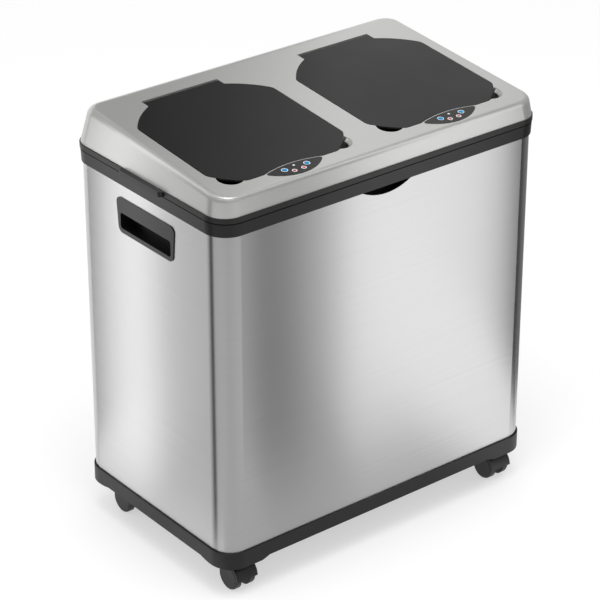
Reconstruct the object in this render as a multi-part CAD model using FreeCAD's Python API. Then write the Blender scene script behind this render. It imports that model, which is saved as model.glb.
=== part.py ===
import FreeCAD, Part

import math
import os

from FreeCAD import Placement, Rotation, Vector

# Double sensor bin on casters: a steel wrap on a moulded tray, two buckets
# inside, a rim frame, and a sloping head with two powered doors.
# Millimetres, +Z up, the front faces -Y. The origin is on the floor, under
# the middle of the bin.

X_AXIS = Vector(1, 0, 0)
Y_AXIS = Vector(0, 1, 0)
Z_AXIS = Vector(0, 0, 1)
SIDES = {"left": -1, "right": 1}

# ---- fits and clearances -------------------------------------------------
run_fit = 0.05            # radial, a shaft that turns in a hole
slip_gap = 0.3            # between mouldings that lift apart
door_gap = 0.9            # round a door, seen as a dark line
press_gap = 0.15          # round a panel that is dropped into its recess

# ---- steel wrap ----------------------------------------------------------
body_width = 560.0
body_depth = 339.2
sheet_height = 518.6      # the sheet stands on the tray's floor
body_corner = 32.0
steel = 0.8
seam_width = 12.0
seam_rise = 0.5
half_w = body_width / 2
half_d = body_depth / 2

# ---- casters -------------------------------------------------------------
swivel_side = 40.4        # from the wrap's side to a swivel's centre
swivel_end = 40.2         # from the wrap's front or back to it
trail = 11.8
wheel_r = 20.0
wheel_inner = 7.5         # from the swivel's plane to a wheel's inner face
wheel_width = 10.2
wheel_edge = 2.5
wheel_end = 1.5           # wall left at the outer end of the axle's hole
axle_r = 2.5
axle_gap = 0.5
stem_r = 4.0
stem_foot = 13.0          # the stem's lower end, above the axle
stem_tip = 4.0            # and its upper end, above the tray's floor
hood_cover = 0.3          # the hood is wider than its wheels by this at each side
hood_gap = 0.9
hood_wall = 2.6
hood_web = 8.0
hood_start = 2.5          # degrees above the axle's level, at the front
hood_end = 125.0
hood_hub_r = 7.0
hood_hub_gap = 0.5
neck_r = 9.5
neck_stub = 3.4           # of the neck above the hood's top
swivel_gap = 0.6          # between the neck and its socket
wheel_outer = wheel_inner + wheel_width
hood_half = wheel_outer + hood_cover
swivel_x = half_w - swivel_side
swivel_y = half_d - swivel_end
neck_high = 2 * wheel_r + hood_gap + hood_wall + neck_stub
stem_low = wheel_r + stem_foot

# ---- base tray -----------------------------------------------------------
tray_floor = 3.0
skirt_under = 7.6         # of the skirt below the floor's top
skirt_over = 14.5         # and above it
skirt_proud = 2.6
skirt_gap = 1.2           # between the skirt and the sheet, seen as a dark line
skirt_edge = 0.7          # softened top edge of the skirt
tray_lip = 2.5
tray_lip_rise = 8.0
tray_rib = 2.0
socket_r = 13.0
socket_drop = 9.5         # under the tray's floor
socket_top_r = 7.0
socket_rise = 6.0
lobe_drop = 4.4
lobe_reach = 41.0
lobe_flare = 8.0
lobe_end = 32.6           # from the wrap's front or back to a lobe's centre
lobe_wall = 4.0
divider_rise = 12.0
divider_end = 51.6
socket_low = neck_high + swivel_gap
floor_low = socket_low + socket_drop
floor_top = floor_low + tray_floor
steel_low = floor_top
steel_high = steel_low + sheet_height
stem_high = floor_top + stem_tip
skirt_low = floor_top - skirt_under
skirt_high = floor_top + skirt_over
lobe_y = half_d - lobe_end
divider_half = half_d - divider_end

# ---- rim frame -----------------------------------------------------------
frame_skirt = 19.2        # height of the band outside the sheet
frame_wall = 3.0
frame_taper = 1.0         # the skirt is drawn in by this at its lower edge
frame_web = 3.0
frame_ledge = 8.0
seat_rise = 1.0           # the lid ring rests on this rib, so a groove shows
seat_width = 4.0
notch_half = 45.0
notch_depth = 12.4
cup_depth = 15.0
cup_wall = 2.0
cup_side = 7.0            # of the cup past the notch, at each side
cup_under = 4.5           # and below it
cup_clear = 2.0           # between the cup and the lid ring's spigot
frame_high = steel_high + frame_web
frame_low = frame_high - frame_skirt
cup_half = notch_half + cup_side

# ---- lid ring ------------------------------------------------------------
ring_height = 7.3
ring_proud = 4.0
ring_band = 9.0
lid_floor = 2.5
lid_floor_drop = 3.5      # from the ring's top to the floor's underside
spigot_reach = 9.6        # into the rim frame
spigot_wall = 2.0
tab_half = 48.0
tab_reach = 6.0
tab_corner = 5.5
head_low = frame_high + seat_rise
ring_high = head_low + ring_height
lid_floor_low = ring_high - lid_floor_drop
spigot_low = frame_high - spigot_reach
cup_high = spigot_low - cup_clear
cup_low = frame_low - notch_depth - cup_under

# ---- head cover ----------------------------------------------------------
cover_proud = 1.7
cover_wall = 2.5
cover_corner = 32.0
lid_rise = 41.3           # from the lid ring to the sloping top, at the middle
lid_slope = 5.06          # degrees, high at the back
side_lean = 9.0
side_round = 10.0
front_lean = 7.0
front_round = 8.0
back_lean = 12.5
back_round = 22.0
boss_r = 4.0
lid_height = ring_high + lid_rise
cover_hw = half_w + cover_proud
cover_hd = half_d + cover_proud

# ---- doors ---------------------------------------------------------------
door_strip = 21.2         # of cover from the bin's middle to a door
door_side = 28.8          # from a door to the wrap's side
door_front_strip = 30.7   # from a door to the wrap's front
door_rear_strip = 53.5    # from a hinge tab to the wrap's back
door_arc_v = -23.5
door_arc_inset = 1.1      # of the rear arc inside the tab
tab_shoulder = 51.15      # from a door's side to its hinge tab
door_edge = 1.6           # full-size upper layer of the plate
door_plate = 3.5
door_inset = 1.5          # the lower layer is smaller by this
door_corner = 16.0
hinge_r = 5.0
door_shaft_r = 2.0
shaft_end = 3.0           # how far the shaft runs into its plain bearing
door_lip = 5.5
door_lip_wall = 2.0
door_lip_inset = 3.5
door_rib = 1.8
recess_depth = 5.0
ledge_wall = 2.5
throat_inset = 6.0
throat_front_inset = 14.9
throat_rear_inset = 24.1
collar_wall = 2.2
collar_reach = 1.4        # of the throat's collar below the lid ring's floor
notch_r = 19.0
notch_side = 23.5         # from a door's side to a notch's centre
notch_front = 18.0
well_gap = 1.0
well_depth = 12.0
pad_r = 3.0
pad_x = 62.0
pad_front = 7.4
pad_rest = 0.1
door_half = (half_w - door_strip - door_side) / 2
door_x = door_strip + door_half
door_front = door_front_strip - half_d
door_tab_half = door_half - tab_shoulder
door_tab_rear = half_d - door_rear_strip
door_arc = door_tab_rear - door_arc_inset - door_arc_v
throat_front = door_front + throat_front_inset
throat_rear = door_tab_rear - throat_rear_inset
collar_low = lid_floor_low - collar_reach
notch_x = door_half - notch_side
notch_v = door_front + notch_front
pad_v = door_front + pad_front

# ---- control panel, measured from the door's front -----------------------
panel_upper_r = 145.7
panel_upper = 6.3
panel_lower_r = 64.5
panel_lower = 23.4
panel_tip = 3.0
panel_thick = 2.5
panel_proud = 0.3
panel_strip = 1.5         # sliver of cover between a door and its panel
panel_ledge = 4.0
key_x = 18.7
key_front = 4.9
key_r = 3.4
key_gap = 0.3
key_travel = 0.6
key_left = 0.1            # still open under a pressed key
key_flange = 1.2
key_flange_thick = 1.0
key_proud = 0.25
window_x = 7.8
window_front = 12.6
window_r = 2.4
lamp_front = 0.5
lamp_r = 1.6
lens_proud = 0.1
board_half = 46.0
board_depth = 17.0
board_front = 6.6
board_thick = 1.6
board_low = 9.6
switch_r = 2.5
switch_rise = 0.7
chip_half_x = 12.0
chip_half_y = 4.0
chip_thick = 2.5
post_r = 2.5
post_end = 2.4            # from a board's end to its post
post_front = 3.5
panel_upper_v = door_front + panel_upper
panel_lower_v = door_front - panel_lower
key_v = door_front - key_front
window_v = door_front - window_front
lamp_v = door_front - lamp_front
board_v = door_front - board_front
post_x = board_half - post_end
post_v = door_front - post_front

# ---- drive, batteries and power ------------------------------------------
gearbox_length = 40.0
gearbox_depth = 25.0
gearbox_height = 30.0
gearbox_front = 8.5       # of the case in front of the hinge
gearbox_gap = 1.6
gearbox_round = 2.0
motor_r = 11.0
motor_length = 17.0
shaft_engage = 12.0
bearing_boss = 4.0
cell_r = 13.0
cell_length = 50.0
cell_gap = 0.5
battery_wall = 1.5
battery_strip = 22.1      # from the battery box to the wrap's back
jack_rise = 13.1          # above the lid ring
jack_r = 5.5
jack_bore = 3.3
jack_depth = 11.0
jack_length = 18.0
screw_r = 1.6
screw_head_r = 3.4
screw_head = 2.2
screw_length = 14.0
screw_side = 23.0
screw_end = 30.6
screw_front = 22.5        # of the middle screw in front of the batteries
screw_x = half_w - screw_side
screw_y = half_d - screw_end
battery_rear = half_d - battery_strip
battery_front = battery_rear - battery_wall - 4 * cell_r - 3 * cell_gap
screw_mid_y = battery_front - screw_front
jack_z = ring_high + jack_rise
jack_back = cover_hd - math.tan(math.radians(back_lean)) * jack_rise

# ---- buckets -------------------------------------------------------------
bucket_middle = 4.0       # from the bin's middle to a bucket's rim
bucket_side = 24.0        # from a rim to the wrap's side
bucket_end = 22.6         # and to its front or back
bucket_headroom = 6.4     # below the rim frame
bucket_lean_x = 14.0      # the foot is smaller than the rim by this at each side
bucket_lean_y = 15.0
bucket_lip = 3.5          # of the rim outside the wall
bucket_corner = 34.0
bucket_wall = 2.2
rim_thick = 4.0
rim_drop = 9.0
rim_wall = 2.2
slot_half = 45.0
slot_height = 22.0
slot_drop = 18.0
rim_hw = (half_w - bucket_middle - bucket_side) / 2
rim_hd = half_d - bucket_end
bucket_x = bucket_middle + rim_hw
bucket_high = frame_low - bucket_headroom

# ---- side grips ----------------------------------------------------------
grip_drop = 36.3          # below the sheet's top edge
grip_tall = 52.9
grip_top_half = 67.2
grip_low_half = 62.6
grip_corner = 9.0
grip_proud = 1.4
grip_border = 3.2
grip_wall = 2.0
grip_plate = 3.2
grip_depth = 20.8         # of the tub behind the sheet
mouth_side = 4.6
mouth_sill = 6.6
mouth_tall = 23.5
mouth_corner = 4.0
grip_rib = 2.0
grip_rib_rise = 9.0
grip_high = steel_high - grip_drop
grip_low = grip_high - grip_tall
grip_inner = half_w - grip_depth
mouth_half = grip_low_half - mouth_side
mouth_low = grip_low + mouth_sill
mouth_high = mouth_low + mouth_tall
grip_rib_z = mouth_low + grip_rib_rise

# ---- derived places ------------------------------------------------------
slope = math.radians(lid_slope)
lid_frame = Placement(Vector(0, 0, lid_height), Rotation(X_AXIS, lid_slope))
hinge_v = door_tab_rear - hinge_r
gearbox_v = hinge_v - gearbox_front
well_half = door_tab_half + door_gap
shaft_wall = well_half + ledge_wall
gearbox_x = shaft_wall + gearbox_gap
panel_base = panel_proud - panel_thick
board_top = board_thick - board_low
FAR = 800.0               # longer than any piece, for cutting tools


# ---- helpers -------------------------------------------------------------
def rounded_wire(hx, hy, r, z=0.0, cx=0.0, cy=0.0):
    """Closed rounded rectangle in a level plane, half sizes hx and hy."""
    edges = []
    turns = ((1, 1), (-1, 1), (-1, -1), (1, -1))
    arcs = []
    for n, (sx, sy) in enumerate(turns):
        c = Vector(cx + sx * (hx - r), cy + sy * (hy - r), z)
        a0 = math.radians(90 * n)
        pts = [c + Vector(r * math.cos(a), r * math.sin(a), 0)
               for a in (a0, a0 + math.pi / 4, a0 + math.pi / 2)]
        arcs.append(pts)
    for n, pts in enumerate(arcs):
        edges.append(Part.Arc(*pts).toShape())
        edges.append(Part.LineSegment(pts[2], arcs[(n + 1) % 4][0]).toShape())
    return Part.Wire(edges)


def rounded_box(hx, hy, r, low, high, cx=0.0, cy=0.0):
    """Upright block with rounded corners, from low to high."""
    face = Part.Face(rounded_wire(hx, hy, r, low, cx, cy))
    return face.extrude(Vector(0, 0, high - low))


def body_block(offset, low, high):
    """The wrap's outline grown by offset, from low to high."""
    return rounded_box(half_w + offset, half_d + offset, body_corner + offset, low, high)


def tube_block(outer, inner, low, high):
    """A band that follows the wrap, between two offsets of its outline."""
    return body_block(outer, low, high).cut(body_block(inner, low - 1, high + 1))


def box(x0, x1, y0, y1, z0, z1):
    """Block between two corners."""
    return Part.makeBox(x1 - x0, y1 - y0, z1 - z0, Vector(x0, y0, z0))


def prism(points, along):
    """Block swept from a closed outline of straight lines."""
    return Part.Face(Part.makePolygon(points + points[:1])).extrude(along)


def cyl(r, p, direction, length):
    """Cylinder from point p along a direction."""
    return Part.makeCylinder(r, length, p, direction)


def hexagon(r, p, length):
    """Upright six-sided bar from point p, r to its corners."""
    turns = [math.radians(60 * n) for n in range(6)]
    return prism([p + Vector(r * math.cos(a), r * math.sin(a), 0) for a in turns],
                 Vector(0, 0, length))


def fuse_all(solids):
    """One solid from pieces that touch."""
    return solids[0].multiFuse(solids[1:]).removeSplitter()


def mirrored(shape):
    """The right-hand twin of a left-hand piece."""
    return shape.mirror(Vector(0, 0, 0), X_AXIS)


def on_lid(shape, side):
    """Moves a piece drawn flat about one door's middle onto the sloping top."""
    moved = shape.copy()
    moved.translate(Vector(side * door_x, 0, 0))
    moved.Placement = lid_frame.multiply(moved.Placement)
    return moved


def upright_fillet(solid, r, test):
    """Rounds the upright edges whose middle passes a test."""
    picked = [e for e in solid.Edges
              if abs(e.tangentAt(e.FirstParameter).z) > 0.999
              and isinstance(e.Curve, Part.Line)
              and test(e.CenterOfMass)]
    return solid.makeFillet(r, picked) if picked else solid


def write(name, shape):
    """Writes one node."""
    shape.exportStep(os.path.join("parts", name + ".step"))


# ---- outlines drawn flat, then laid on the slope --------------------------
def door_slab(offset, low, high):
    """The door's outline grown by offset, between two levels."""
    disc = cyl(door_arc + offset, Vector(0, door_arc_v, low), Z_AXIS, high - low)
    sides = box(-door_half - offset, door_half + offset,
                door_front - offset, FAR, low, high)
    slab = disc.common(sides)
    slab = upright_fillet(slab, door_corner,
                          lambda c: abs(c.x) > door_half / 2)
    tab = box(-door_tab_half - offset, door_tab_half + offset,
              0, door_tab_rear + offset, low, high)
    strip = panel_upper_r + panel_strip + door_gap - offset
    arc = cyl(strip, Vector(0, panel_upper_v - panel_upper_r, low - 1), Z_AXIS,
              high - low + 2)
    return slab.fuse(tab).cut(arc).removeSplitter()


def throat_slab(offset, low, high, notches=True):
    """The opening under a door, grown by offset, between two levels."""
    inset = throat_inset - offset
    disc = cyl(door_arc - inset, Vector(0, door_arc_v, low), Z_AXIS, high - low)
    sides = box(-door_half + inset, door_half - inset,
                throat_front - offset, throat_rear + offset, low, high)
    slab = disc.common(sides)
    if not notches:
        return slab
    scoops = [cyl(notch_r + offset, Vector(s * notch_x, notch_v, low), Z_AXIS, high - low)
              for s in (-1, 1)]
    return slab.multiFuse(scoops).removeSplitter()


def panel_slab(offset, low, high):
    """The lens shape of a control panel, between two levels."""
    upper = cyl(panel_upper_r + offset, Vector(0, panel_upper_v - panel_upper_r, low),
                Z_AXIS, high - low)
    lower = cyl(panel_lower_r + offset, Vector(0, panel_lower_v + panel_lower_r, low),
                Z_AXIS, high - low)
    return upright_fillet(upper.common(lower), panel_tip + max(offset, -panel_tip / 2),
                          lambda c: True)


# ---- head cover ----------------------------------------------------------
def cover_solid(inset, low):
    """The cover's outside drawn in by inset, as a solid down to low."""
    hw, hd = cover_hw - inset, cover_hd - inset
    lean_s, lean_f, lean_b, climb = (math.tan(math.radians(a)) for a in
                                     (side_lean, front_lean, back_lean, lid_slope))
    peak = 2 * lid_height - low
    side_in = lean_s * (peak - low)
    front_view = [Vector(-hw, -FAR / 2, low), Vector(hw, -FAR / 2, low),
                  Vector(hw - side_in, -FAR / 2, peak), Vector(side_in - hw, -FAR / 2, peak)]
    top = lid_height - inset / math.cos(slope)
    # the walls' lines meet the sloping top's line at these levels
    front_z = (top - climb * (hd + lean_f * low)) / (1 - climb * lean_f)
    back_z = (top + climb * (hd + lean_b * low)) / (1 + climb * lean_b)
    front_y = lean_f * (front_z - low) - hd
    back_y = hd - lean_b * (back_z - low)
    side_view = [Vector(-FAR / 2, -hd, low), Vector(-FAR / 2, hd, low),
                 Vector(-FAR / 2, back_y, back_z), Vector(-FAR / 2, front_y, front_z)]
    block = prism(front_view, Vector(0, FAR, 0)).common(prism(side_view, Vector(FAR, 0, 0)))
    corners = [e for e in block.Edges if abs(e.tangentAt(e.FirstParameter).z) > 0.9]
    block = block.makeFillet(cover_corner - inset, corners)
    radii = {front_y: front_round - inset, back_y: back_round - inset}
    rounds = []
    for n, edge in enumerate(block.Edges, 1):
        ends = [edge.valueAt(edge.FirstParameter), edge.valueAt(edge.LastParameter)]
        if any(abs(p.z - top - climb * p.y) > 0.001 for p in ends):
            continue
        sizes = [next((r for y, r in radii.items() if abs(p.y - y) < 0.001),
                      side_round - inset) for p in ends]
        rounds.append((n, sizes[0], sizes[1]))
    return varied_fillet(block, rounds)


def varied_fillet(solid, rounds):
    """Fillet whose radius changes along edges, as (edge number, start, end)."""
    doc = FreeCAD.newDocument("rounding")
    base = doc.addObject("Part::Feature", "base")
    base.Shape = solid
    fillet = doc.addObject("Part::Fillet", "fillet")
    fillet.Base = base
    fillet.Edges = rounds
    doc.recompute()
    shape = fillet.Shape.copy()
    FreeCAD.closeDocument(doc.Name)
    return shape


def hinge_well(grow, low):
    """Block round the hinge barrel; grow is the wall added outside it."""
    return box(-well_half - grow, well_half + grow, hinge_v - hinge_r - well_gap - grow,
               door_tab_rear + door_gap + grow, low - grow, 0)


def shaft_hole(side):
    """Bore for a door shaft: through the outer wall, blind in the plain bearing."""
    inner = -side * (shaft_wall + bearing_boss)
    x0, x1 = sorted((inner, side * (shaft_wall + 1)))
    return cyl(door_shaft_r + run_fit, Vector(x0, hinge_v, -hinge_r), X_AXIS, x1 - x0)


def make_cover():
    """Silver shell with door recesses, throats, notches and screw bosses."""
    outer = cover_solid(0.0, ring_high)
    shell = outer.cut(cover_solid(cover_wall, ring_high))
    inside = body_block(ring_proud - ring_band, collar_low, ring_high)
    room = outer.fuse(inside)
    added = []
    for side in SIDES.values():
        wall_x = -side * (shaft_wall + bearing_boss / 2)
        flat = [door_slab(door_gap + ledge_wall, -recess_depth - ledge_wall, 0),
                hinge_well(ledge_wall, -well_depth),
                panel_slab(ledge_wall, panel_base - ledge_wall, 0),
                box(wall_x - bearing_boss / 2 - 0.1, wall_x + bearing_boss / 2 + 0.1,
                    hinge_v - hinge_r, hinge_v + hinge_r, -well_depth, 0),
                throat_slab(collar_wall, -FAR / 4, -recess_depth)]
        flat += [cyl(post_r, Vector(x, post_v, board_top), Z_AXIS, -board_top)
                 for x in (-post_x, post_x)]
        added += [on_lid(s, side).common(room) for s in flat]
    for x, y in screw_places():
        boss = cyl(boss_r, Vector(x, y, lid_floor_low + lid_floor), Z_AXIS, FAR / 4)
        added.append(boss.common(room))
    cover = shell.multiFuse(added)
    for side in SIDES.values():
        well_cut = hinge_well(0, -well_depth).fuse(
            box(-well_half, well_half, hinge_v - hinge_r - well_gap,
                door_tab_rear + door_gap, -1, 1))
        for cut in (door_slab(door_gap, -recess_depth, 1), well_cut,
                    throat_slab(0, -FAR / 4, 1),
                    panel_slab(press_gap, panel_base, 1),
                    panel_slab(-panel_ledge, -FAR / 40, 1),
                    shaft_hole(side)):
            cover = cover.cut(on_lid(cut, side))
    for x, y in screw_places():
        cover = cover.cut(cyl(screw_r, Vector(x, y, lid_floor_low), Z_AXIS, screw_length))
    cover = cover.cut(cyl(jack_r, Vector(0, jack_back - jack_length, jack_z), Y_AXIS,
                          2 * jack_length))
    return cover


def screw_places():
    """Centres of the screws that join the lid ring to the cover."""
    corners = [(sx * screw_x, sy * screw_y) for sx in (-1, 1) for sy in (-1, 1)]
    return corners + [(0, -screw_y), (0, screw_mid_y)]


# ---- lid ring ------------------------------------------------------------
def make_lid_ring():
    """Black ring with side tabs, the head's floor and the locating spigot."""
    ring = tube_block(ring_proud, ring_proud - ring_band, head_low, ring_high)
    floor = body_block(ring_proud - ring_band + 1, lid_floor_low, lid_floor_low + lid_floor)
    seat_in = -slip_gap * 2 - frame_ledge
    spigot = tube_block(seat_in, seat_in - spigot_wall, spigot_low, lid_floor_low)
    tab = rounded_box(half_w + ring_proud + tab_reach, tab_half, tab_corner,
                      head_low, ring_high)
    ring = ring.fuse(tab.cut(body_block(0, head_low - 1, ring_high + 1)))
    lid = fuse_all([ring, floor, spigot])
    for side in SIDES.values():
        lid = lid.cut(on_lid(throat_slab(collar_wall + press_gap, -FAR / 4, 0), side))
    lid = lid.cut(battery_block(0.0, lid_floor_low - 1, lid_floor_low + lid_floor + 1))
    for x, y in screw_places():
        lid = lid.cut(cyl(screw_r, Vector(x, y, lid_floor_low - 1), Z_AXIS, lid_floor + 2))
    return lid


# ---- rim frame -----------------------------------------------------------
def frame_leg():
    """The frame's inner leg, just inside the sheet."""
    outside = -steel - slip_gap
    return tube_block(outside, outside - frame_wall, frame_low, frame_high - frame_web)


def cup_hollow():
    """Room for fingertips behind the notch in the sheet."""
    front = -half_d + steel + slip_gap
    half = cup_half - cup_wall
    return box(-half, half, front - 1, front + cup_depth, cup_low + cup_wall,
               cup_high - cup_wall)


def make_rim_frame():
    """Black frame over the wrap's top edge, its leg open in front of the cup."""
    outer = frame_wall + slip_gap
    skirt_wires = [rounded_wire(half_w + outer - t, half_d + outer - t,
                                body_corner + outer - t, z)
                   for t, z in ((frame_taper, frame_low), (0, frame_high))]
    skirt = Part.makeLoft(skirt_wires, True, True)
    skirt = skirt.cut(body_block(slip_gap, frame_low - 1, frame_high - frame_web))
    skirt = skirt.cut(body_block(-frame_ledge, frame_low - 1, frame_high + 1))
    seat = tube_block(-1.0, -1.0 - seat_width, frame_high, head_low)
    return fuse_all([skirt, frame_leg(), seat]).cut(cup_hollow())


def make_finger_cup():
    """Open-fronted cup that clips behind the frame's leg."""
    front = -half_d + steel + slip_gap
    cup = box(-cup_half, cup_half, front, front + cup_depth + cup_wall, cup_low, cup_high)
    return cup.cut(cup_hollow()).cut(frame_leg())


# ---- steel wrap ----------------------------------------------------------
def grip_slab(inset, x0, x1):
    """The side grip's outline drawn in by inset, between two distances."""
    lean = (grip_top_half - grip_low_half) / (grip_high - grip_low)
    low, high = grip_low + inset, grip_high - inset
    half_low = grip_low_half - inset + lean * inset
    half_high = grip_top_half - inset - lean * inset
    pts = [Vector(x0, y, z) for y, z in ((-half_low, low), (half_low, low),
                                         (half_high, high), (-half_high, high))]
    face = Part.Face(Part.makePolygon(pts + pts[:1]))
    slab = face.extrude(Vector(x1 - x0, 0, 0))
    along = [e for e in slab.Edges if abs(e.tangentAt(e.FirstParameter).x) > 0.999]
    return slab.makeFillet(max(grip_corner - inset, 1.5), along)


def make_wrap():
    """Sheet wrap with the two grip windows, the finger notch and its seam."""
    wrap = tube_block(0, -steel, steel_low, steel_high)
    for sign in (-1, 1):
        x0, x1 = sorted((sign * (half_w - 5), sign * (half_w + 5)))
        wrap = wrap.cut(grip_slab(grip_border, x0, x1))
    radius = (notch_half ** 2 + notch_depth ** 2) / (2 * notch_depth)
    centre = Vector(0, -half_d - 5, frame_low - notch_depth + radius)
    wrap = wrap.cut(cyl(radius, centre, Y_AXIS, 10))
    seam = box(-seam_width / 2, seam_width / 2, half_d - steel, half_d + seam_rise,
               skirt_high + 1, frame_low - 1)
    return wrap.fuse(seam).removeSplitter()


def make_side_grip():
    """Left grip: a face plate with a mouth, and a tub that runs up behind it."""
    face_x = -half_w - grip_proud
    grip = grip_slab(0, face_x, -half_w).fuse(grip_slab(grip_border, -half_w, -grip_inner))
    hollow = grip_slab(grip_border + grip_wall, face_x + grip_plate, -grip_inner - grip_wall)
    mouth = box(face_x - 1, face_x + grip_plate + 1, -mouth_half, mouth_half,
                mouth_low, mouth_high)
    along = [e for e in mouth.Edges if abs(e.tangentAt(e.FirstParameter).x) > 0.999]
    mouth = mouth.makeFillet(mouth_corner, along)
    back = -grip_inner - grip_wall
    rib = box(back - grip_rib, back + grip_wall / 2, -mouth_half, mouth_half,
              grip_rib_z, grip_rib_z + grip_rib)
    return grip.cut(hollow).cut(mouth).fuse(rib).removeSplitter()


# ---- base tray -----------------------------------------------------------
def caster_places():
    """Swivel centres of the four casters, by name."""
    ends = {"front": -1, "rear": 1}
    return {"%s_%s" % (end, side): Vector(SIDES[side] * swivel_x, ends[end] * swivel_y, 0)
            for end in ends for side in SIDES}


def make_tray():
    """Moulded tray: skirt, floor, locating lip, ribs, lobes and sockets."""
    block = body_block(skirt_proud, skirt_low, skirt_high)
    rim = [e for e in block.Edges
           if abs(e.BoundBox.ZMin - skirt_high) < 1e-6 and e.BoundBox.ZLength < 1e-6]
    tray = block.makeChamfer(skirt_edge, rim)
    tray = tray.cut(body_block(skirt_gap, floor_top, skirt_high + 1))
    tray = tray.cut(body_block(-slip_gap, skirt_low - 1, floor_low))
    added = [tube_block(-steel, -steel - tray_lip, floor_top, floor_top + tray_lip_rise)]
    for n in (-1, 0, 1):
        added.append(box(-half_w + 1, half_w - 1, n * half_d / 2 - tray_rib / 2,
                         n * half_d / 2 + tray_rib / 2, skirt_low, floor_low))
    for n in range(-2, 3):
        added.append(box(n * half_w / 3 - tray_rib / 2, n * half_w / 3 + tray_rib / 2,
                         -half_d + 1, half_d - 1, skirt_low, floor_low))
    added.append(box(-tray_rib / 2, tray_rib / 2, -divider_half, divider_half,
                     floor_top, floor_top + divider_rise))
    wall = tube_block(skirt_proud, skirt_proud - lobe_wall, skirt_low - lobe_drop, skirt_low)
    for sx in (-1, 1):
        for sy in (-1, 1):
            cone = Part.makeCone(lobe_reach, lobe_reach + lobe_flare, lobe_drop,
                                 Vector(sx * swivel_x, sy * lobe_y, skirt_low - lobe_drop))
            added.append(wall.common(cone))
    for place in caster_places().values():
        added.append(cyl(socket_r, place + Vector(0, 0, socket_low), Z_AXIS,
                         floor_low - socket_low))
        added.append(cyl(socket_top_r, place + Vector(0, 0, floor_top), Z_AXIS, socket_rise))
    tray = tray.multiFuse(added)
    for place in caster_places().values():
        tray = tray.cut(cyl(stem_r + run_fit, place + Vector(0, 0, socket_low - 1), Z_AXIS,
                            floor_top + socket_rise - socket_low + 2))
    return tray.removeSplitter()


# ---- casters -------------------------------------------------------------
def make_hood():
    """Caster hood about its axle's middle: fender, web, hub and neck."""
    r_in = wheel_r + hood_gap
    r_out = r_in + hood_wall
    left = Vector(-hood_half, 0, 0)
    width = 2 * hood_half
    ring = cyl(r_out, left, X_AXIS, width).cut(cyl(r_in, left, X_AXIS, width))
    fan = [Vector(-hood_half - 1, 0, 0)]
    for a in (hood_start, (hood_start + hood_end) / 2, hood_end):
        t = math.radians(a)
        fan.append(Vector(-hood_half - 1, -2 * r_out * math.cos(t), 2 * r_out * math.sin(t)))
    fender = ring.common(prism(fan, Vector(width + 2, 0, 0)))
    web_left = Vector(-hood_web / 2, 0, 0)
    web = cyl(r_in + hood_wall / 2, web_left, X_AXIS, hood_web)
    web = web.common(prism(fan, Vector(width + 2, 0, 0)))
    hub_half = wheel_inner - hood_hub_gap
    hub = cyl(hood_hub_r, Vector(-hub_half, 0, 0), X_AXIS, 2 * hub_half)
    neck = cyl(neck_r, Vector(0, trail, 0), Z_AXIS, neck_high - wheel_r)
    for sign in (-1, 1):
        neck = neck.cut(cyl(r_in, Vector(sign * hub_half, 0, 0), Vector(sign, 0, 0), width))
    hood = fuse_all([fender, web, hub, neck])
    hood = hood.cut(cyl(axle_r, left, X_AXIS, width))
    return hood.cut(cyl(stem_r, Vector(0, trail, stem_low - wheel_r), Z_AXIS, neck_high))


def make_wheel(sign):
    """One wheel turned from its half section, with a blind hole for the axle."""
    bore = axle_r + run_fit
    blind = wheel_outer - wheel_end
    step = wheel_edge * (1 - math.sqrt(0.5))
    outline = [Vector(blind, 0, 0), Vector(blind, 0, bore), Vector(wheel_inner, 0, bore),
               Vector(wheel_inner, 0, wheel_r), Vector(wheel_outer - wheel_edge, 0, wheel_r),
               Vector(wheel_outer - step, 0, wheel_r - step),
               Vector(wheel_outer, 0, wheel_r - wheel_edge), Vector(wheel_outer, 0, 0)]
    face = Part.Face(Part.makePolygon(outline + outline[:1]))
    wheel = face.revolve(Vector(0, 0, 0), X_AXIS, 360)
    return wheel if sign > 0 else mirrored(wheel)


def write_casters():
    """All four casters: hood, stem, axle and a pair of wheels each."""
    hood = make_hood()
    axle_half = wheel_outer - wheel_end - axle_gap
    axle = cyl(axle_r, Vector(-axle_half, 0, 0), X_AXIS, 2 * axle_half)
    for name, place in caster_places().items():
        middle = place + Vector(0, -trail, wheel_r)
        for node, shape in (("caster_hood_", hood), ("caster_axle_", axle)):
            moved = shape.copy()
            moved.translate(middle)
            write(node + name, moved)
        write("caster_stem_" + name,
              cyl(stem_r, place + Vector(0, 0, stem_low), Z_AXIS, stem_high - stem_low))
        outward = 1 if place.x > 0 else -1
        for label, sign in (("inner", -outward), ("outer", outward)):
            wheel = make_wheel(sign)
            wheel.translate(middle)
            write("wheel_%s_%s" % (label, name), wheel)


# ---- buckets -------------------------------------------------------------
def leaning_block(foot, top, corner, low, high, cx):
    """Block whose flat sides lean from the foot's half sizes to the top's."""
    views = []
    for n, axis in ((0, Y_AXIS), (1, X_AXIS)):
        across = Vector(1, 0, 0) if n == 0 else Vector(0, 1, 0)
        pts = [across * a + Vector(0, 0, z) - axis * FAR / 2
               for a, z in ((-foot[n], low), (foot[n], low), (top[n], high), (-top[n], high))]
        views.append(prism(pts, axis * FAR))
    block = views[0].common(views[1])
    slanted = [e for e in block.Edges if abs(e.tangentAt(e.FirstParameter).z) > 0.9]
    block = block.makeFillet(corner, slanted)
    block.translate(Vector(cx, 0, 0))
    return block


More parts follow.
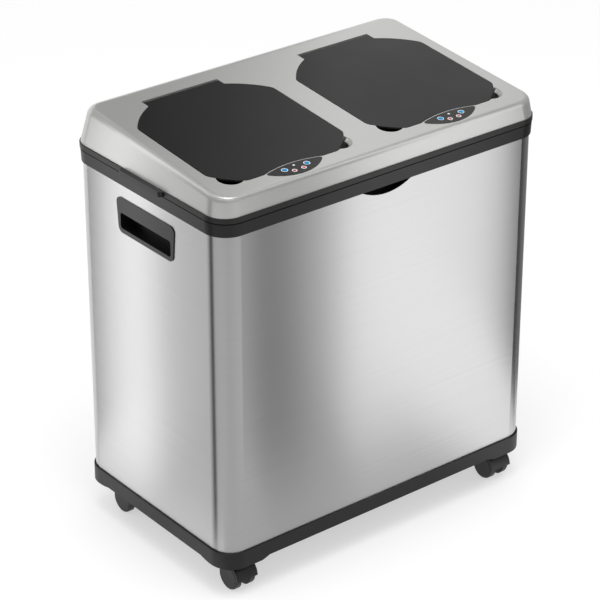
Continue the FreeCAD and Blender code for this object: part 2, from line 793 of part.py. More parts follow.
def make_bucket(side):
    """Tapered bucket with a rolled rim and a grip slot front and back."""
    cx = side * bucket_x
    w = bucket_wall
    top = (rim_hw - bucket_lip, rim_hd - bucket_lip)
    foot = (rim_hw - bucket_lean_x, rim_hd - bucket_lean_y)
    outer = leaning_block(foot, top, bucket_corner, floor_top, bucket_high, cx)
    climb = (bucket_high + 1 - floor_top - w) / (bucket_high - floor_top)
    wide = tuple(f + (t - f) * climb - w for f, t in zip(foot, top))
    inner = leaning_block(tuple(f - w for f in foot), wide, bucket_corner - w,
                          floor_top + w, bucket_high + 1, cx)
    corner = bucket_corner + bucket_lip
    rim = rounded_box(rim_hw, rim_hd, corner, bucket_high - rim_thick, bucket_high, cx)
    roll = rounded_box(rim_hw, rim_hd, corner, bucket_high - rim_drop, bucket_high, cx)
    roll = roll.cut(rounded_box(rim_hw - rim_wall, rim_hd - rim_wall, corner - rim_wall,
                                bucket_high - rim_drop - 1, bucket_high + 1, cx))
    bucket = fuse_all([outer, rim, roll]).cut(inner)
    slot_high = bucket_high - slot_drop
    slot = box(cx - slot_half, cx + slot_half, -FAR / 2, FAR / 2,
               slot_high - slot_height, slot_high)
    ends = [e for e in slot.Edges if abs(e.tangentAt(e.FirstParameter).y) > 0.999]
    return bucket.cut(slot.makeFillet(slot_height * 0.45, ends))


# ---- doors ---------------------------------------------------------------
def make_door():
    """Door drawn flat about its middle: plate, barrel, lip and ribs."""
    plate = door_slab(0, -door_edge, 0)
    under = door_slab(-door_inset, -door_plate, -door_edge)
    rear = box(-FAR, FAR, hinge_v, FAR, -FAR, FAR)
    plate = plate.cut(rear)
    under = under.cut(rear)
    barrel = cyl(hinge_r, Vector(-door_tab_half, hinge_v, -hinge_r), X_AXIS,
                 2 * door_tab_half)
    low = -door_plate - door_lip
    lip = throat_slab(-door_lip_inset, low, -door_plate, notches=False)
    lip = lip.cut(throat_slab(-door_lip_inset - door_lip_wall, low - 1, 0, notches=False))
    ribs = []
    room = throat_slab(-door_lip_inset - 1, low + 2, -door_plate, notches=False)
    for n in (-1, 0, 1):
        ribs.append(box(n * door_half / 2 - door_rib / 2, n * door_half / 2 + door_rib / 2,
                        -FAR, FAR, low + 2, -door_plate).common(room))
    for v in (throat_front / 2, throat_rear / 2 - 10):
        ribs.append(box(-FAR, FAR, v - door_rib / 2, v + door_rib / 2,
                        low + 2, -door_plate).common(room))
    door = fuse_all([plate, under, barrel, lip] + ribs)
    return door.cut(cyl(door_shaft_r, Vector(-FAR / 2, hinge_v, -hinge_r), X_AXIS, FAR))


def write_doors():
    """Doors with their shafts and pads."""
    door = make_door()
    pads = Part.makeCompound([cyl(pad_r, Vector(x, pad_v, -recess_depth + pad_rest), Z_AXIS,
                                  recess_depth - pad_rest - door_plate)
                              for x in (-pad_x, pad_x)])
    for name, side in SIDES.items():
        x0, x1 = sorted((-side * (shaft_wall + shaft_end), side * (gearbox_x + shaft_engage)))
        shaft = cyl(door_shaft_r, Vector(x0, hinge_v, -hinge_r), X_AXIS, x1 - x0)
        write("door_" + name, on_lid(door, side))
        write("door_shaft_" + name, on_lid(shaft, side))
        write("door_pads_" + name, on_lid(pads, side))


# ---- head electrics ------------------------------------------------------
def make_gearbox(side):
    """Gearbox with its motor can, hung under the cover by its top face."""
    x0 = gearbox_x
    x1 = x0 + gearbox_length
    low = -cover_wall - gearbox_height
    case = box(x0, x1, gearbox_v, gearbox_v + gearbox_depth, low, -cover_wall)
    upright = [e for e in case.Edges if abs(e.tangentAt(e.FirstParameter).z) > 0.999]
    case = case.makeFillet(gearbox_round, upright)
    motor_at = Vector(x1 - 1, gearbox_v + gearbox_depth / 2, low + motor_r + 2)
    unit = case.fuse(cyl(motor_r, motor_at, X_AXIS, motor_length + 1))
    unit = unit.fuse(cyl(motor_r / 3, motor_at, X_AXIS, motor_length + 3))
    bore = cyl(door_shaft_r + run_fit, Vector(x0 - 1, hinge_v, -hinge_r), X_AXIS,
               shaft_engage + 1.5)
    unit = unit.cut(bore)
    return unit if side > 0 else mirrored(unit)


def battery_block(grow, low, high):
    """Plan of the battery box grown outwards, between two levels."""
    half = cell_length + cell_gap * 2 + grow
    return box(-half, half, battery_front - grow, battery_rear - battery_wall + grow,
               low, high)


def write_electrics():
    """Panels, keys, windows, lamps, boards, gearboxes and the power parts."""
    base = panel_base
    for name, side in SIDES.items():
        panel = panel_slab(0, base, panel_proud)
        keys = {"open": -side * key_x, "close": side * key_x}
        for x in keys.values():
            panel = panel.cut(cyl(key_r + key_gap, Vector(x, key_v, base - 1), Z_AXIS, 9))
        for x in (-window_x, window_x):
            panel = panel.cut(cyl(window_r, Vector(x, window_v, base - 1), Z_AXIS, 9))
        panel = panel.cut(cyl(lamp_r, Vector(0, lamp_v, base - 1), Z_AXIS, 9))
        write("control_panel_" + name, on_lid(panel, side))
        for label, x in keys.items():
            foot = board_top + switch_rise + key_left + key_travel
            flange_low = base - key_flange_thick
            key = fuse_all([
                cyl(key_r, Vector(x, key_v, flange_low), Z_AXIS,
                    panel_proud + key_proud - flange_low),
                cyl(key_r + key_flange, Vector(x, key_v, flange_low), Z_AXIS,
                    key_flange_thick),
                cyl(switch_r, Vector(x, key_v, foot), Z_AXIS, flange_low - foot)])
            write("%s_key_%s" % (label, name), on_lid(key, side))
        windows = [cyl(window_r, Vector(x, window_v, base), Z_AXIS, panel_thick + lens_proud)
                   for x in (-window_x, window_x)]
        write("sensor_windows_" + name, on_lid(Part.makeCompound(windows), side))
        lamp = cyl(lamp_r, Vector(0, lamp_v, base), Z_AXIS, panel_thick + lens_proud)
        write("signal_lamp_" + name, on_lid(lamp, side))
        board = [box(-board_half, board_half, board_v - board_depth / 2,
                     board_v + board_depth / 2, -board_low, board_top)]
        for x in keys.values():
            board.append(cyl(switch_r, Vector(x, key_v, board_top), Z_AXIS, switch_rise))
        board.append(box(-chip_half_x, chip_half_x, board_v - chip_half_y,
                         board_v + chip_half_y, -board_low - chip_thick, -board_low))
        write("control_board_" + name, on_lid(fuse_all(board), side))
        write("motor_gearbox_" + name, on_lid(make_gearbox(side), side))
    low = lid_floor_low + lid_floor
    top = low + 2 * cell_r + 2 * cell_gap + battery_wall
    case = battery_block(battery_wall, low, top).cut(battery_block(0, low - 1, top - battery_wall))
    write("battery_box", case)
    write("battery_cover", battery_block(-press_gap, lid_floor_low, low)
          .fuse(battery_block(-battery_wall, low, low + cell_gap)).removeSplitter())
    cells = []
    for x in (-cell_length - cell_gap, cell_gap):
        for n in (0, 1):
            y = battery_front + cell_gap + cell_r + n * (2 * cell_r + cell_gap)
            cells.append(cyl(cell_r, Vector(x, y, low + cell_gap + cell_r), X_AXIS,
                             cell_length))
    write("battery_cells", Part.makeCompound(cells))
    jack = cyl(jack_r, Vector(0, jack_back - jack_length, jack_z), Y_AXIS, jack_length)
    jack = jack.cut(cyl(jack_bore, Vector(0, jack_back - jack_depth, jack_z), Y_AXIS,
                        jack_depth + 1))
    write("power_socket", jack)
    screws = []
    for x, y in screw_places():
        head = hexagon(screw_head_r, Vector(x, y, lid_floor_low - screw_head), screw_head)
        shank = hexagon(screw_r, Vector(x, y, lid_floor_low), screw_length)
        screws.append(head.fuse(shank))
    write("head_screws", Part.makeCompound(screws))


os.makedirs("parts", exist_ok=True)
write("steel_wrap", make_wrap())
write("base_tray", make_tray())
left_grip = make_side_grip()
write("side_grip_left", left_grip)
write("side_grip_right", mirrored(left_grip))
write("rim_frame", make_rim_frame())
write("finger_cup", make_finger_cup())
write("lid_ring", make_lid_ring())
write("head_cover", make_cover())
write_doors()
write_electrics()
for side_name, side_sign in SIDES.items():
    write("bucket_" + side_name, make_bucket(side_sign))
write_casters()
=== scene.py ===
import math

import bpy
import numpy as np
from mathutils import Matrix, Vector


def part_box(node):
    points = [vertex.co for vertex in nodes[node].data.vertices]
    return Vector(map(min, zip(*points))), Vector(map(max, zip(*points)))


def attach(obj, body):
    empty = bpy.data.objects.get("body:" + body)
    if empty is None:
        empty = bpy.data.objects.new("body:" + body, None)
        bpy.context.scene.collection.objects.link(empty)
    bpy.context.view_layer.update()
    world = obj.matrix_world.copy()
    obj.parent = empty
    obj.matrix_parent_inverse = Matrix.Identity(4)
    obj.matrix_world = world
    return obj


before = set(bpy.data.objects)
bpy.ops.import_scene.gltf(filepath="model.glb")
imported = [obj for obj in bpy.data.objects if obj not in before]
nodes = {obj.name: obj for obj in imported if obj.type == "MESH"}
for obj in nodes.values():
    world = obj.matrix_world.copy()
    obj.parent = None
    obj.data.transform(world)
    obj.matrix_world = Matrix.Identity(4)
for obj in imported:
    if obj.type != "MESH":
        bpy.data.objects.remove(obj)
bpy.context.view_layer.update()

# ---- studio ---------------------------------------------------------------
# A wide white floor that runs out of sight under a pale dome, one softbox
# overhead, and reflectors round the bin that shade from grey to white. Only
# glossy surfaces see the reflectors, which give the brushed steel its bands.


def linear(code):
    """Linear light of an sRGB hex colour, with alpha 1, by the sRGB curve."""
    parts = np.array([int(code[n:n + 2], 16) for n in (1, 3, 5)]) / 255
    light = np.where(parts <= 0.04045, parts / 12.92, ((parts + 0.055) / 1.055) ** 2.4)
    return (*light.tolist(), 1.0)


def add(tree, kind, settings=(), links=()):
    """Adds a node: settings are names of sockets or properties with values, links go into sockets."""
    made = tree.nodes.new(kind)
    for name, value in settings:
        if isinstance(name, int) or name in made.inputs:
            made.inputs[name].default_value = value
        else:
            setattr(made, name, value)
    for name, output in links:
        tree.links.new(output, made.inputs[name])
    return made


def blank_material(name):
    """A material with an empty node tree, and that tree."""
    material = bpy.data.materials.new(name)
    material.use_nodes = True
    material.node_tree.nodes.clear()
    return material, material.node_tree


def mesh_piece(name, points, faces, smooth=True):
    """A mesh object at the origin from arrays of points and of faces."""
    mesh = bpy.data.meshes.new(name)
    mesh.from_pydata(np.asarray(points).tolist(), [], [list(map(int, face)) for face in faces])
    mesh.polygons.foreach_set("use_smooth", np.full(len(mesh.polygons), smooth))
    mesh.update()
    piece = bpy.data.objects.new(name, mesh)
    bpy.context.scene.collection.objects.link(piece)
    return piece


def sight_rays(tree):
    """An output that is 1 for rays that see a surface, straight, mirrored or through glass, and 0
    for rays that only carry light to another surface."""
    path = add(tree, "ShaderNodeLightPath")
    mirrored = add(tree, "ShaderNodeMath", [("operation", "MAXIMUM")],
                   [(0, path.outputs["Is Camera Ray"]), (1, path.outputs["Is Glossy Ray"])])
    through = add(tree, "ShaderNodeMath", [("operation", "MAXIMUM")],
                  [(0, mirrored.outputs[0]), (1, path.outputs["Is Transmission Ray"])])
    return through.outputs[0]


full_level = 2.0          # a ramp's colours end at 1, so they hold shares of this level


def reflector(name, start, end, reach, shades):
    """A flat reflector from start to end that reaches up or along the floor. It glows in the shades
    given as metres along it with a level, eased between them, and only glossy rays see it."""
    start, end, reach = Vector(start), Vector(end), Vector(reach)
    span = (end - start).length
    along = (end - start) / span ** 2
    paint, tree = blank_material(name + "_paint")
    place = add(tree, "ShaderNodeTexCoord")
    offset = add(tree, "ShaderNodeVectorMath", [("operation", "SUBTRACT"), (1, start)],
                 [(0, place.outputs["Object"])])
    share = add(tree, "ShaderNodeVectorMath", [("operation", "DOT_PRODUCT"), (1, along)],
                [(0, offset.outputs["Vector"])])
    ramp = add(tree, "ShaderNodeValToRGB", (), [("Fac", share.outputs["Value"])])
    ramp.color_ramp.interpolation = "EASE"
    while len(ramp.color_ramp.elements) < len(shades):
        ramp.color_ramp.elements.new(0.5)
    for stop, (metres, level) in zip(ramp.color_ramp.elements, shades):
        stop.position = metres / span
        stop.color = (level / full_level, level / full_level, level / full_level, 1)
    glow = add(tree, "ShaderNodeEmission", [("Strength", full_level)], [("Color", ramp.outputs["Color"])])
    add(tree, "ShaderNodeOutputMaterial", (), [("Surface", glow.outputs[0])])
    wall = mesh_piece(name, [start, end, end + reach, start + reach], [(0, 1, 2, 3)], False)
    wall.data.materials.append(paint)
    wall.visible_camera = wall.visible_diffuse = wall.visible_shadow = False


floor_reach = 30.0
floor_glow = 0.53         # lifts the floor to white where it is seen, and lights nothing
floor_paint, tree = blank_material("studio_floor_paint")
lift = add(tree, "ShaderNodeMath", [("operation", "MULTIPLY"), (1, floor_glow)], [(0, sight_rays(tree))])
glow = add(tree, "ShaderNodeEmission", [("Color", linear("#ffffff"))], [("Strength", lift.outputs[0])])
chalk = add(tree, "ShaderNodeBsdfDiffuse", [("Color", linear("#c6c6c6"))])
both = add(tree, "ShaderNodeAddShader", (), [(0, chalk.outputs[0]), (1, glow.outputs[0])])
add(tree, "ShaderNodeOutputMaterial", (), [("Surface", both.outputs[0])])
floor_corners = [(x * floor_reach, y * floor_reach, 0) for x, y in ((-1, -1), (1, -1), (1, 1), (-1, 1))]
floor = mesh_piece("studio_floor", floor_corners, [(0, 1, 2, 3)], False)
floor.data.materials.append(floor_paint)

# The dome lights evenly. Where it is seen it is white near the horizon and
# grey overhead, so that the lid's flat top has something darker to mirror.
world = bpy.data.worlds.new("studio_world")
world.use_nodes = True
bpy.context.scene.world = world
tree = world.node_tree
tree.nodes.clear()
view = add(tree, "ShaderNodeTexCoord")
height = add(tree, "ShaderNodeSeparateXYZ", (), [("Vector", view.outputs["Generated"])])
dome = add(tree, "ShaderNodeMapRange", [("From Min", 0.2), ("From Max", 0.6), ("To Min", 1.0),
                                        ("To Max", 0.22)], [("Value", height.outputs["Z"])])
level = add(tree, "ShaderNodeMapRange", [("To Min", 0.72)],
            [("Value", sight_rays(tree)), ("To Max", dome.outputs[0])])
sky = add(tree, "ShaderNodeBackground", [("Color", linear("#ffffff"))],
          [("Strength", level.outputs[0])])
add(tree, "ShaderNodeOutputWorld", (), [("Surface", sky.outputs[0])])

softbox_place = Vector((-0.4, -0.5, 2.4))
lamp = bpy.data.lights.new("overhead_softbox", "AREA")
lamp.shape = "RECTANGLE"
lamp.size, lamp.size_y, lamp.energy = 1.3, 1.3, 20.0
softbox = bpy.data.objects.new("overhead_softbox", lamp)
softbox.location = softbox_place
softbox.rotation_mode = "QUATERNION"
softbox.rotation_quaternion = (Vector((0, 0, 0.3)) - softbox_place).to_track_quat("-Z", "Y")
softbox.visible_camera = False
bpy.context.scene.collection.objects.link(softbox)

# Seen from the photograph's side, the steel mirrors what stands below the
# lid's line and the lid's slopes mirror what is above it, so both heights
# have their own shades.
front_y, front_start_x = -0.42, -0.42
left_x, left_rear_y = -0.40, 0.355
right_x, right_rear_y = 0.53, 0.60
lid_line, wall_top = 0.62, 1.6
ground_reach = 0.235
lower_reach, upper_reach = (0, 0, lid_line), (0, 0, wall_top - lid_line)
reflector("front_reflector", (front_start_x, front_y, 0), (right_x, front_y, 0), lower_reach,
          [(0.0, 0.56), (0.355, 0.66), (0.38, 0.24), (0.43, 0.28), (0.50, 0.55), (0.57, 1.28),
           (0.62, 1.36), (0.85, 1.36), (0.88, 1.1), (0.90, 0.03), (0.95, 0.03)])
reflector("front_upper_reflector", (front_start_x, front_y, lid_line), (right_x, front_y, lid_line),
          upper_reach,
          [(0.0, 0.28), (0.36, 0.28), (0.40, 0.05), (0.52, 0.08), (0.64, 0.75), (0.72, 1.25),
           (0.88, 1.3), (0.93, 0.3), (0.95, 0.2)])
reflector("right_reflector", (right_x, front_y, 0), (right_x, right_rear_y, 0), (0, 0, wall_top),
          [(0.0, 0.05), (0.25, 0.22), (0.60, 0.65), (1.02, 0.85)])
reflector("left_upper_reflector", (left_x, left_rear_y, lid_line), (left_x, front_y, lid_line),
          upper_reach,
          [(0.0, 0.02), (0.08, 0.02), (0.13, 0.7), (0.18, 1.6), (0.24, 1.6), (0.29, 0.5),
           (0.35, 0.15), (0.775, 0.15)])
reflector("left_reflector", (left_x, left_rear_y, 0), (left_x, front_y, 0), lower_reach,
          [(0.0, 0.02), (0.04, 0.04), (0.075, 1.15), (0.11, 1.52), (0.165, 1.60), (0.20, 1.36),
           (0.235, 0.82), (0.28, 0.72), (0.395, 0.66), (0.42, 0.08), (0.462, 0.08), (0.485, 0.62),
           (0.775, 0.56)])
reflector("front_ground_reflector", (front_start_x, front_y, 0.001), (right_x, front_y, 0.001),
          (0, ground_reach, 0),
          [(0.0, 0.60), (0.60, 0.60), (0.75, 1.25), (0.85, 1.25), (0.90, 0.2), (0.95, 0.2)])
reflector("rear_reflector", (0.3, 1.25, 0.9), (2.3, 1.25, 0.9), (0, 0, 1.6),
          [(0.0, 0.03), (0.52, 0.05), (0.66, 0.38), (0.80, 0.60), (2.0, 0.62)])

# The camera was solved from the straight edges of the body in the photograph.
sight_line = Vector((0.5503, 0.6937, -0.4646))
camera_data = bpy.data.cameras.new("photo_camera")
camera_data.sensor_width = 36.0
camera_data.lens = 153.4
camera = bpy.data.objects.new("photo_camera", camera_data)
camera.location = (-2.039, -2.551, 2.030)
camera.rotation_mode = "QUATERNION"
camera.rotation_quaternion = sight_line.to_track_quat("-Z", "Y")
bpy.context.scene.collection.objects.link(camera)
bpy.context.scene.camera = camera
bpy.context.scene.view_settings.view_transform = "Standard"

# ---- base tray ------------------------------------------------------------
# One injection-moulded ABS tray with a fine spark-eroded skin, which the
# steel stands in. The same plastic, a little glossier or greyer, makes the
# other black mouldings. Its gloss is a broad soft sheen on near black.


def moulded_abs(name, low, high, gloss, grain_mm=1.2, relief=0.15, patch_mm=111.0):
    """Moulded ABS: two close tones mixed by a fine mould grain of a size in millimetres, with the
    same grain as a low relief, and slow patches that change the gloss, as flow in a mould does."""
    material, tree = blank_material(name)
    place = add(tree, "ShaderNodeTexCoord")
    grain = add(tree, "ShaderNodeTexNoise", [("Scale", 1000 / grain_mm), ("Detail", 2.0)],
                [("Vector", place.outputs["Object"])])
    patch = add(tree, "ShaderNodeTexNoise", [("Scale", 1000 / patch_mm), ("Detail", 2.0)],
                [("Vector", place.outputs["Object"])])
    tone = add(tree, "ShaderNodeValToRGB", (), [("Fac", grain.outputs["Fac"])])
    for stop, position, code in zip(tone.color_ramp.elements, (0.3, 0.7), (low, high)):
        stop.position, stop.color = position, linear(code)
    rough = add(tree, "ShaderNodeMapRange", [("From Min", 0.3), ("From Max", 0.7),
                                             ("To Min", gloss - 0.03), ("To Max", gloss + 0.03)],
                [("Value", patch.outputs["Fac"])])
    dents = add(tree, "ShaderNodeBump", [("Strength", relief), ("Distance", 0.0001)],
                [("Height", grain.outputs["Fac"])])
    skin = add(tree, "ShaderNodeBsdfPrincipled", [("IOR", 1.5)],
               [("Base Color", tone.outputs["Color"]), ("Roughness", rough.outputs[0]),
                ("Normal", dents.outputs[0])])
    add(tree, "ShaderNodeOutputMaterial", (), [("Surface", skin.outputs[0])])
    return material


def finish_nodes(material, names):
    """Gives a material to the named CAD pieces, in place of what they had."""
    for name in names:
        mesh = nodes[name].data
        mesh.materials.clear()
        mesh.materials.append(material)


finish_nodes(moulded_abs("base_tray_moulded_abs", "#080808", "#0d0d0d", 0.46), ["base_tray"])

# ---- casters --------------------------------------------------------------
# Four twin-wheel furniture casters: a glass-filled nylon hood over two
# moulded nylon wheels, on an axle and a stem of turned steel with a bright
# zinc plate, which looks grey and slightly clouded. The head's screws and
# the doors' shafts have the same plate.
corners = [end + "_" + side for end in ("front", "rear") for side in ("left", "right")]
hood_nylon = moulded_abs("caster_hood_nylon", "#070707", "#0b0b0b", 0.40)
wheel_nylon = moulded_abs("wheel_nylon", "#060606", "#0a0a0a", 0.45)
finish_nodes(hood_nylon, ["caster_hood_" + corner for corner in corners])
finish_nodes(wheel_nylon, ["wheel_" + which + corner for corner in corners
                           for which in ("inner_", "outer_")])

bloom_mm = 2.857          # size of the plate's clouds
zinc_plate, tree = blank_material("zinc_plated_steel")
place = add(tree, "ShaderNodeTexCoord")
bloom = add(tree, "ShaderNodeTexNoise", [("Scale", 1000 / bloom_mm), ("Detail", 3.0)],
            [("Vector", place.outputs["Object"])])
tone = add(tree, "ShaderNodeValToRGB", (), [("Fac", bloom.outputs["Fac"])])
for stop, code in zip(tone.color_ramp.elements, ("#a9abb0", "#c6c8cb")):
    stop.color = linear(code)
plate = add(tree, "ShaderNodeBsdfPrincipled", [("Metallic", 1.0), ("Roughness", 0.32)],
            [("Base Color", tone.outputs["Color"])])
add(tree, "ShaderNodeOutputMaterial", (), [("Surface", plate.outputs[0])])
finish_nodes(zinc_plate, [part + corner for corner in corners
                          for part in ("caster_axle_", "caster_stem_")])
finish_nodes(zinc_plate, ["head_screws", "door_shaft_left", "door_shaft_right"])

# ---- steel wrap -----------------------------------------------------------
# A 0.8 mm stainless sheet, belt-brushed along its length before it is bent
# round the body, so the lines run level on every side and round the corners.
# The lines are 0.3 mm apart on the real sheet, drawn at 1.4 mm to show here.
# They spread each reflection up and down, and leave it sharper sideways.
line_mm, line_length_mm = 1.389, 454.5
brushed, tree = blank_material("belt_brushed_stainless_steel")
place = add(tree, "ShaderNodeTexCoord")
stretch = add(tree, "ShaderNodeMapping",
              [("Scale", (1000 / line_length_mm, 1000 / line_length_mm, 1000 / line_mm))],
              [("Vector", place.outputs["Object"])])
lines = add(tree, "ShaderNodeTexNoise", [("Scale", 1.0), ("Detail", 2.0), ("Roughness", 0.5)],
            [("Vector", stretch.outputs[0])])
tone = add(tree, "ShaderNodeValToRGB", (), [("Fac", lines.outputs["Fac"])])
for stop, position, code in zip(tone.color_ramp.elements, (0.3, 0.7), ("#c6c6c6", "#c9c9c9")):
    stop.position, stop.color = position, linear(code)
rough = add(tree, "ShaderNodeMapRange", [("From Min", 0.3), ("From Max", 0.7),
                                         ("To Min", 0.258), ("To Max", 0.268)],
            [("Value", lines.outputs["Fac"])])
scratch = add(tree, "ShaderNodeBump", [("Strength", 0.02), ("Distance", 0.000005)],
              [("Height", lines.outputs["Fac"])])
upright = add(tree, "ShaderNodeCombineXYZ", [("Z", 1.0)])
sheet = add(tree, "ShaderNodeBsdfPrincipled", [("Metallic", 1.0), ("Anisotropic", 0.93)],
            [("Base Color", tone.outputs["Color"]), ("Roughness", rough.outputs[0]),
             ("Normal", scratch.outputs[0]), ("Tangent", upright.outputs[0])])
add(tree, "ShaderNodeOutputMaterial", (), [("Surface", sheet.outputs[0])])
finish_nodes(brushed, ["steel_wrap"])

# ---- side grips -----------------------------------------------------------
# Recessed ABS grips that clip into a window in each side, smoother than the
# tray because a hand polishes them.
grip_abs = moulded_abs("side_grip_moulded_abs", "#0e0e0e", "#131313", 0.32, 1.0, 0.08)
finish_nodes(grip_abs, ["side_grip_left", "side_grip_right"])

# ---- rim frame and lid ring -----------------------------------------------
# Two black ABS hoops over the steel's top edge. The lower one lies on the
# steel, with a cup for the fingertips clipped behind it. The upper one is
# screwed to the head and carries the lifting tabs. The battery's box and the
# power socket are moulded in the lower one's plastic.
rim_abs = moulded_abs("rim_hoop_moulded_abs", "#0b0b0b", "#101010", 0.38)
finish_nodes(rim_abs, ["rim_frame", "finger_cup", "battery_box", "battery_cover", "power_socket"])

# The ring is the same plastic, and its band has a fine slanted knurl. The
# light that the knurl's ridges catch is painted into the colour as light and
# dark strokes: painted highlight and painted shade. Their real pitch is
# 1.5 mm, and they are drawn 3 mm apart to show.
knurl_pitch = 0.003
knurl_light_abs = moulded_abs("lid_ring_painted_knurl_light_abs", "#0e0e0e", "#131313", 0.40)
tree = knurl_light_abs.node_tree
place = add(tree, "ShaderNodeTexCoord")
climb = add(tree, "ShaderNodeVectorMath", [("operation", "DOT_PRODUCT"), (1, (1.0, -1.0, 1.0))],
            [(0, place.outputs["Object"])])
turns = add(tree, "ShaderNodeMath", [("operation", "MULTIPLY"), (1, 2 * math.pi / knurl_pitch)],
            [(0, climb.outputs["Value"])])
stroke = add(tree, "ShaderNodeMath", [("operation", "SINE")], [(0, turns.outputs[0])])
knurl_light_share = add(tree, "ShaderNodeMapRange", [("From Min", -1.0)], [("Value", stroke.outputs[0])])
knurl_painted_light = add(tree, "ShaderNodeValToRGB", (), [("Fac", knurl_light_share.outputs[0])])
# The strokes run from painted shade to painted highlight.
for stop, code in zip(knurl_painted_light.color_ramp.elements, ("#060606", "#202020")):
    stop.color = linear(code)
tree.links.new(knurl_painted_light.outputs["Color"], tree.nodes["Principled BSDF"].inputs["Base Color"])
finish_nodes(knurl_light_abs, ["lid_ring"])

# A thin near-black strip lies in the groove between the two hoops. It is
# painted shade: a dark sheet where the groove's shadow falls, which makes
# the thin black line that runs round the bin and mirrors almost nothing.
# Its profile is in millimetres outside the steel, and under the top of the
# rib that the lid ring rests on.
wrap_low, wrap_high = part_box("steel_wrap")
rim_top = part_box("rim_frame")[1][2]
wrap_bend = 0.032
bend_x, bend_y = wrap_high[0] - wrap_bend, -wrap_low[1] - wrap_bend
groove_shade_rows = ((3.34, 1.7), (3.52, 1.65), (3.52, 0.1), (0.4, 0.1), (0.4, 0.95), (3.34, 0.95))


def painted_groove_shade():
    """A closed hoop: a rounded rectangle with quarter circles of 12 steps at its corners, grown by
    each profile point's offset at that point's height, and the profile's rows joined by quads."""
    turn = (np.arange(4)[:, None] * 90 + np.linspace(0, 90, 13)[None, :]).ravel() * math.pi / 180
    corner = np.repeat(np.array([(1, 1), (-1, 1), (-1, -1), (1, -1)]), 13, axis=0)
    rings = []
    for outside, under in groove_shade_rows:
        x = corner[:, 0] * bend_x + (wrap_bend + outside / 1000) * np.cos(turn)
        y = corner[:, 1] * bend_y + (wrap_bend + outside / 1000) * np.sin(turn)
        rings.append(np.stack([x, y, np.full(len(x), rim_top - under / 1000)], 1))
    n, rows = len(turn), len(groove_shade_rows)
    k = np.arange(n)
    faces = [np.stack([r * n + k, r * n + (k + 1) % n, (r + 1) % rows * n + (k + 1) % n,
                       (r + 1) % rows * n + k], 1) for r in range(rows)]
    return np.concatenate(rings), np.concatenate(faces)


# Painted shade for the groove: near black and almost without gloss.
groove_shade_black = moulded_abs("painted_groove_shade_black", "#020202", "#040404", 0.95, 0.6, 0.3)
groove_shade_black.node_tree.nodes["Principled BSDF"].inputs["Specular IOR Level"].default_value = 0.1
groove_shade_strip = mesh_piece("painted_groove_shade", *painted_groove_shade(), smooth=False)
groove_shade_strip.data.materials.append(groove_shade_black)
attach(groove_shade_strip, "frame")

# ---- buckets --------------------------------------------------------------
# Two lift-out buckets, injection-moulded from grey polypropylene, which
# stays slightly waxy to the eye.
bucket_pp = moulded_abs("bucket_polypropylene", "#4a4b4d", "#525355", 0.5, 1.6, 0.1)
finish_nodes(bucket_pp, ["bucket_left", "bucket_right"])

# ---- head cover -----------------------------------------------------------
# An ABS shell sprayed with satin silver paint: the fine aluminium flake
# gives it a soft metallic sheen that is darker where it turns away. The
# flake is 0.03 mm on the real cover, drawn at 0.7 mm to show here.
flake_mm, cloud_mm = 0.7143, 142.9
silver, tree = blank_material("satin_silver_painted_abs")
place = add(tree, "ShaderNodeTexCoord")
flake = add(tree, "ShaderNodeTexNoise", [("Scale", 1000 / flake_mm), ("Detail", 2.0)],
            [("Vector", place.outputs["Object"])])
cloud = add(tree, "ShaderNodeTexNoise", [("Scale", 1000 / cloud_mm), ("Detail", 2.0)],
            [("Vector", place.outputs["Object"])])
tone = add(tree, "ShaderNodeValToRGB", (), [("Fac", flake.outputs["Fac"])])
for stop, position, code in zip(tone.color_ramp.elements, (0.3, 0.7), ("#cacac8", "#d1d1cf")):
    stop.position, stop.color = position, linear(code)
rough = add(tree, "ShaderNodeMapRange", [("From Min", 0.3), ("From Max", 0.7),
                                         ("To Min", 0.29), ("To Max", 0.33)],
            [("Value", cloud.outputs["Fac"])])
orange_peel = add(tree, "ShaderNodeBump", [("Strength", 0.05), ("Distance", 0.0001)],
                  [("Height", flake.outputs["Fac"])])
paint = add(tree, "ShaderNodeBsdfPrincipled", [("Metallic", 0.6), ("IOR", 1.5)],
            [("Base Color", tone.outputs["Color"]), ("Roughness", rough.outputs[0]),
             ("Normal", orange_peel.outputs[0])])
add(tree, "ShaderNodeOutputMaterial", (), [("Surface", paint.outputs[0])])
finish_nodes(silver, ["head_cover"])

# Each fingertip notch has a sloped lip under the door's corner, moulded with
# the cover. The lid's top is a plane that falls to the front, so places on
# it are given from the middle of the lid as x, and v up the slope.
lid_slope = math.radians(5.06)
lid_middle = np.array((0, 0, 0.6312))
lid_across = np.array((0, math.cos(lid_slope), math.sin(lid_slope)))
lid_up = np.array((0, -math.sin(lid_slope), math.cos(lid_slope)))
sideways = np.array((1, 0, 0))
door_low, door_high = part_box("door_right")
door_middle = (door_low[0] + door_high[0]) / 2
notch_x, notch_v = 0.0915, -0.1209      # the notch's middle, from the door's middle line
notch_heading, notch_half_turn = -46.8, 64.0
dish_rows = ((18.93, -0.12), (18.1, -1.6), (16.9, -3.0), (15.5, -4.2), (13.9, -5.0), (13.9, -5.7),
             (18.93, -5.7))


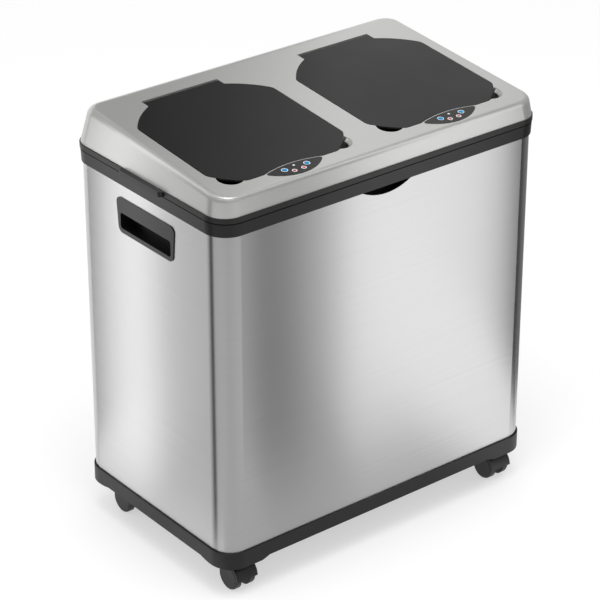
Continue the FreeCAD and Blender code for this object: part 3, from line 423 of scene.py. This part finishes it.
def notch_dish(side, end):
    """The sloped lip of a fingertip notch: a profile of radius and height in millimetres, turned
    about the notch's middle through 128 degrees outwards from the door's corner, and closed at both
    ends. A notch on the other side of its door is the mirror image."""
    turn = np.radians(np.linspace(-notch_half_turn, notch_half_turn, 33) + notch_heading)
    radius, rise = np.array(dish_rows).T / 1000
    x = side * door_middle + end * (notch_x + radius[None, :] * np.cos(turn)[:, None])
    v = notch_v + radius[None, :] * np.sin(turn)[:, None]
    w = np.broadcast_to(rise[None, :], x.shape)
    points = lid_middle + x[..., None] * sideways + v[..., None] * lid_across + w[..., None] * lid_up
    n, m = x.shape
    i, j = np.meshgrid(np.arange(n - 1), np.arange(m), indexing="ij")
    k = (j + 1) % m
    walls = np.stack([i * m + j, (i + 1) * m + j, (i + 1) * m + k, i * m + k], -1)
    faces = walls.reshape(-1, 4).tolist() + [list(range(m)), list(range((n - 1) * m, n * m))[::-1]]
    if end > 0:
        faces = [face[::-1] for face in faces]
    return points.reshape(-1, 3), faces


for name, side in (("left", -1), ("right", 1)):
    for place_name, end in (("outer", side), ("inner", -side)):
        dish = mesh_piece("notch_dish_" + place_name + "_" + name, *notch_dish(side, end))
        dish.data.materials.append(silver)
        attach(dish, "head")

# ---- doors ----------------------------------------------------------------
# Two flat ABS flaps with an even satin skin, and soft rubber pads under the
# front edge that quieten their fall.
door_abs = moulded_abs("door_moulded_abs", "#0d0d0d", "#111111", 0.4, 0.9, 0.1)
pad_rubber = moulded_abs("pad_rubber", "#101010", "#151515", 0.75, 0.8, 0.3)
finish_nodes(door_abs, ["door_left", "door_right"])
finish_nodes(pad_rubber, ["door_pads_left", "door_pads_right"])

# ---- control panels -------------------------------------------------------
# A dark polycarbonate lens over the switches, with two blue keys, two red
# sensor windows and a small milky lamp. A white ring is printed round each
# key and window on the lens. Matt keys mirror less than the lens does.
lens_pc = moulded_abs("panel_polycarbonate", "#141414", "#171717", 0.3, 2.0, 0.02)
key_blue = moulded_abs("key_blue_abs", "#0083bd", "#008cc8", 0.45, 1.5, 0.02)
key_blue.node_tree.nodes["Principled BSDF"].inputs["Specular IOR Level"].default_value = 0.2
window_red = moulded_abs("window_red_acrylic", "#c03540", "#c93e48", 0.3, 1.5, 0.0)
lamp_milk = moulded_abs("lamp_milky_acrylic", "#e8e8e8", "#f2f2f2", 0.25, 1.5, 0.0)
ring_ink = moulded_abs("ring_white_ink", "#e6e8ea", "#f0f2f3", 0.45, 1.0, 0.0)
board_green = moulded_abs("coated_circuit_board", "#1f6b3a", "#277845", 0.3, 3.0, 0.05)
drive_grey = moulded_abs("drive_case_nylon", "#85868a", "#8d8e92", 0.45)
cell_jacket = moulded_abs("cell_shrink_jacket", "#8f9196", "#989a9f", 0.3)
print_rise = 0.00033      # the lens stands 0.3 mm over the lid's plane
key_x, key_v, key_ring = 0.0187, -0.1438, (0.00375, 0.0047)
window_x, window_v, window_ring = 0.0078, -0.1515, (0.0026, 0.00375)
ring_places = [(x * end, v, radii) for x, v, radii in ((key_x, key_v, key_ring),
                                                       (window_x, window_v, window_ring))
               for end in (-1, 1)]
ring_steps = 48


def printed_rings(side):
    """Flat rings on the panel: for each key and window, two circles about its middle, joined by
    quads, laid on the lid's slope at the panel's own height."""
    turn = np.linspace(0, 2 * math.pi, ring_steps, endpoint=False)
    step = np.arange(ring_steps)
    following = (step + 1) % ring_steps
    points, faces = [], []
    for x, v, radii in ring_places:
        start = len(points) * ring_steps
        for r in radii:
            across = (side * door_middle + x + r * np.cos(turn))[:, None]
            up_slope = (v + r * np.sin(turn))[:, None]
            points.append(lid_middle + across * sideways + up_slope * lid_across + print_rise * lid_up)
        faces.append(start + np.stack([step, step + ring_steps, following + ring_steps, following], 1))
    return np.concatenate(points), np.concatenate(faces)


for name, side in (("left", -1), ("right", 1)):
    finish_nodes(lens_pc, ["control_panel_" + name])
    finish_nodes(key_blue, ["open_key_" + name, "close_key_" + name])
    finish_nodes(window_red, ["sensor_windows_" + name])
    finish_nodes(lamp_milk, ["signal_lamp_" + name])
    finish_nodes(board_green, ["control_board_" + name])
    finish_nodes(drive_grey, ["motor_gearbox_" + name])
    rings = mesh_piece("printed_rings_" + name, *printed_rings(side), smooth=False)
    rings.data.materials.append(ring_ink)
    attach(rings, "head")
finish_nodes(cell_jacket, ["battery_cells"])
